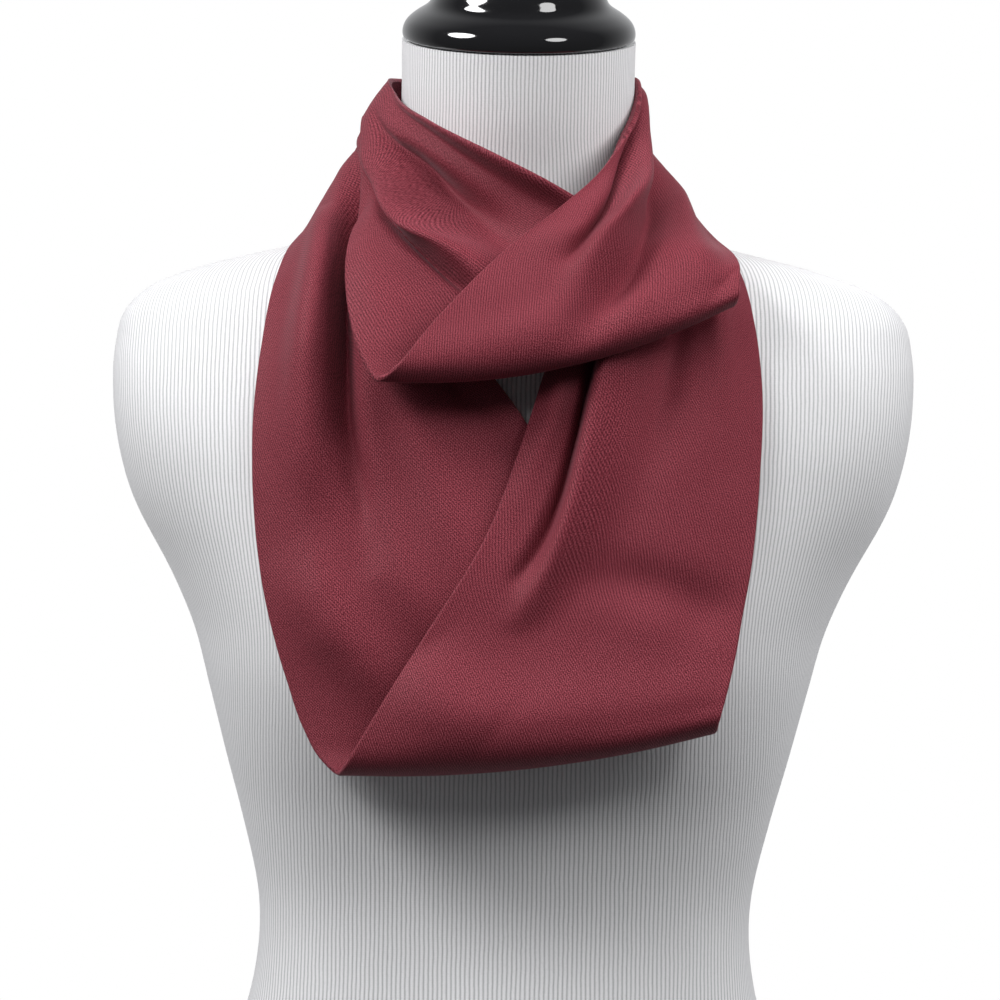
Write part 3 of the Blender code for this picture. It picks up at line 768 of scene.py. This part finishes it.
column_below = np.clip((ring_places / column_step).astype(int), 0, SCARF_COLUMNS - 2)
share_above = ring_places / column_step - column_below


def round_tube(grid):
    """Values on the grid of middle points, taken at each place round the tube."""
    blend = share_above if grid.ndim == 2 else share_above[:, None]
    return grid[:, column_below] * (1 - blend) + grid[:, column_below + 1] * blend


# A face's corners, as steps from its own row and place. They are counted on past the last ones,
# so that the map doesn't turn back where the tube and the loop close.
CORNER_STEPS = ((0, 0), (1, 0), (1, 1), (0, 1))
skin = round_tube(points) + round_tube(normals) * ring_offsets[:, None]
ring_size = len(ring_places)
row_of, place_of = np.divmod(np.arange(SCARF_ROWS * ring_size), ring_size)
corners = [(row_of + rows_on, place_of + places_on) for rows_on, places_on in CORNER_STEPS]
faces = [row % SCARF_ROWS * ring_size + ring_place % ring_size for row, ring_place in corners]
scarf_mesh = bpy.data.meshes.new("infinity_scarf")
scarf_mesh.from_pydata((skin.reshape(-1, 3) * MM).tolist(), [], np.stack(faces, axis=1).tolist())

# The cloth's map: distance round the tube from the middle of its outer face, as wide as the cloth
# is there, and length round the loop. Once round the tube is two widths, from -0.5 to 1.5.
row_width = np.linalg.norm(np.diff(points, axis=1), axis=-1).sum(axis=1)
for _ in range(MAP_SOFTENING):
    row_width = (np.roll(row_width, 1) + 2 * row_width + np.roll(row_width, -1)) / 4
ring_turns = np.append(ring_places / SCARF_WIDTH - 0.5, 1.5)
ring_turns[len(face_places) : -1] = 1 - ring_turns[len(face_places) : -1]
ring_across = np.append(row_width, row_width[0])[:, None] * ring_turns
whole_length = knots_a[-1] * (1 - column_v) + knots_b[-1] * column_v
ring_lines = round_tube(np.vstack((flat_places[..., 0], flat_places[0, :, 0] + whole_length)))
map_corners = [
    np.stack((ring_across[row, ring_place], ring_lines[row, ring_place % ring_size]), axis=1)
    for row, ring_place in corners
]
cloth_map = scarf_mesh.uv_layers.new(name="cloth")
cloth_map.data.foreach_set("uv", (np.stack(map_corners, axis=1) * MM).ravel())
scarf = bpy.data.objects.new("infinity_scarf", scarf_mesh)
bpy.context.scene.collection.objects.link(scarf)
bpy.context.view_layer.objects.active = scarf
scarf.select_set(True)
bm = bmesh.new()
bm.from_mesh(scarf_mesh)
bmesh.ops.recalc_face_normals(bm, faces=bm.faces)
bm.to_mesh(scarf_mesh)
bm.free()
bpy.ops.object.shade_smooth()

# Twill: fine slanted lines of short floats, of paler and darker threads, with painted shade in the grooves
# between the lines and painted highlight on their ridges.
MAROON = (0.158, 0.0205, 0.0320, 1.0)
MAROON_DARK_THREADS_AND_GROOVE_SHADE = (0.060, 0.0060, 0.0110, 1.0)
MAROON_PALE_THREADS_AND_RIDGE_HIGHLIGHT = (0.330, 0.0700, 0.0940, 1.0)
TWILL_PITCH = 0.00130
TWILL_ANGLE = math.radians(-26)
TWILL_DEPTH = 0.00016
TWILL_WAVER = 0.4
LINE_SHARE = 0.18
FLOAT_LENGTH = 0.00120
FLOAT_SHIFT = 1.5
FLOAT_SHARE = 0.14
THREAD_CONTRAST = 3.0

twill, tree, shader = new_finish("maroon_twill_cloth", MAROON, 0.66)
shader.inputs["Sheen Weight"].default_value = 0.14
shader.inputs["Sheen Roughness"].default_value = 0.40
shader.inputs["Sheen Tint"].default_value = (0.90, 0.55, 0.62, 1.0)
shader.inputs["Specular IOR Level"].default_value = 0.20
own_map = wire(tree, "ShaderNodeUVMap", uv_map="cloth").outputs["UV"]
spread = wire(tree, "ShaderNodeSeparateXYZ", (("Vector", own_map),)).outputs
turn_a_metre = 2 * math.pi / TWILL_PITCH
across = maths(tree, "MULTIPLY", spread["X"], turn_a_metre * math.cos(TWILL_ANGLE))
along = maths(tree, "MULTIPLY", spread["Y"], turn_a_metre * math.sin(TWILL_ANGLE))
waver = maths(tree, "MULTIPLY", grain(tree, own_map, 260.0, 2.0), TWILL_WAVER)
phase = maths(tree, "ADD", maths(tree, "ADD", across, along), waver)
line = maths(tree, "MULTIPLY", maths(tree, "SINE", phase), LINE_SHARE)
floats = maths(tree, "MULTIPLY", spread["Y"], 2 * math.pi / FLOAT_LENGTH)
floats = maths(tree, "SINE", maths(tree, "ADD", floats, maths(tree, "MULTIPLY", phase, FLOAT_SHIFT)))
ribs = maths(tree, "ADD", line, maths(tree, "MULTIPLY", floats, FLOAT_SHARE))
relief(tree, shader, ribs, strength=0.4, distance=TWILL_DEPTH)
threads = grain(tree, own_map, 2000.0, 2.0)
threads = maths(tree, "MULTIPLY_ADD", threads, THREAD_CONTRAST, (1 - THREAD_CONTRAST) / 2)
# The colour follows both the threads' own tone and the lines' height, which paints shade in the grooves
# and highlight on the ridges.
ramp = wire(tree, "ShaderNodeValToRGB", (("Fac", maths(tree, "ADD", ribs, threads)),))
tones = ramp.color_ramp.elements
tones[0].position, tones[0].color = 0.15, MAROON_DARK_THREADS_AND_GROOVE_SHADE
tones[1].position, tones[1].color = 0.85, MAROON_PALE_THREADS_AND_RIDGE_HIGHLIGHT
tones.new(0.5).color = MAROON
tree.links.new(ramp.outputs["Color"], shader.inputs["Base Color"])
scarf_mesh.materials.append(twill)
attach(scarf, "root")
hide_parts("scarf_lower_left", "scarf_lower_right", "scarf_upper_left", "scarf_upper_right")

# Studio. A pale round floor, soft boxes above and to both sides, white surroundings, and a camera
# level with the chest, tipped a little because the form leans in the picture.
FLOOR_RADIUS = 1.35
FLOOR_DROP = 0.0005
FLOOR_WHITE = (0.86, 0.86, 0.86, 1.0)
CAMERA_DISTANCE = 2.4
CAMERA_HEIGHT = 0.424
CAMERA_ROLL = 0.0165
CAMERA_LENS = 172.8
CAMERA_SHIFT = -0.0113
SENSOR_WIDTH = 36.0
AIM_RISE = 0.05

bpy.ops.mesh.primitive_circle_add(
    vertices=128, radius=FLOOR_RADIUS, fill_type="NGON", location=(0, 0, -FLOOR_DROP)
)
floor_paint, tree, shader = new_finish("pale_floor", FLOOR_WHITE, 0.7)
floor = active_piece("floor", floor_paint)
floor.visible_diffuse = False
floor.visible_glossy = False

SOFT_BOXES = (
    # name, x, y, z, width, height, watts, shows in polished surfaces
    ("left", -1.6, -0.9, 1.9, 1.0, 1.0, 42.0, True),
    ("right", 1.9, -0.5, 1.7, 1.0, 1.2, 33.0, False),
    ("overhead", 0.0, -0.9, 2.2, 1.0, 0.8, 11.0, False),
    ("front_left", -0.7, -1.3, 1.15, 0.6, 0.6, 6.5, False),
    ("front_right", 0.8, -1.1, 1.30, 0.5, 0.5, 4.5, True),
    ("behind", 0.3, 2.2, 1.5, 1.4, 1.0, 9.0, False),
)
aim = Vector((0, 0, CAMERA_HEIGHT + AIM_RISE))
for name, x, y, z, width, height, watts, shows in SOFT_BOXES:
    bpy.ops.object.light_add(type="AREA", location=(x, y, z))
    light = bpy.context.object
    light.name = name
    light.rotation_euler = (aim - light.location).to_track_quat("-Z", "Y").to_euler()
    light.data.shape = "ELLIPSE"
    light.data.size, light.data.size_y = width, height
    light.data.energy = watts
    light.visible_glossy = shows

world = bpy.data.worlds.new("white_surroundings")
world.use_nodes = True
tree = world.node_tree
tree.nodes.clear()
seen = wire(tree, "ShaderNodeBackground", (("Color", (1, 1, 1, 1)), ("Strength", 1.0)))
place = wire(tree, "ShaderNodeTexCoord").outputs["Generated"]
direction = wire(tree, "ShaderNodeSeparateXYZ", (("Vector", place),)).outputs
glow = wire(
    tree,
    "ShaderNodeMapRange",
    (("Value", direction["Y"]), ("From Min", 0.0), ("From Max", 0.8), ("To Min", 0.09), ("To Max", 0.50)),
).outputs["Result"]
lighting = wire(tree, "ShaderNodeBackground", (("Color", (0.97, 0.98, 1, 1)), ("Strength", glow)))
by_camera = wire(tree, "ShaderNodeLightPath").outputs["Is Camera Ray"]
shaders = (("Fac", by_camera), (1, lighting.outputs[0]), (2, seen.outputs[0]))
chosen = wire(tree, "ShaderNodeMixShader", shaders)
wire(tree, "ShaderNodeOutputWorld", (("Surface", chosen.outputs[0]),))
bpy.context.scene.world = world
bpy.context.scene.view_settings.view_transform = "Standard"

bpy.ops.object.camera_add(location=(0, -CAMERA_DISTANCE, CAMERA_HEIGHT), rotation=(math.pi / 2, 0, 0))
camera = bpy.context.object
camera.data.sensor_width = SENSOR_WIDTH
camera.data.lens = CAMERA_LENS
camera.data.shift_x = CAMERA_SHIFT
camera.rotation_euler.rotate_axis("Z", CAMERA_ROLL)
bpy.context.scene.camera = camera
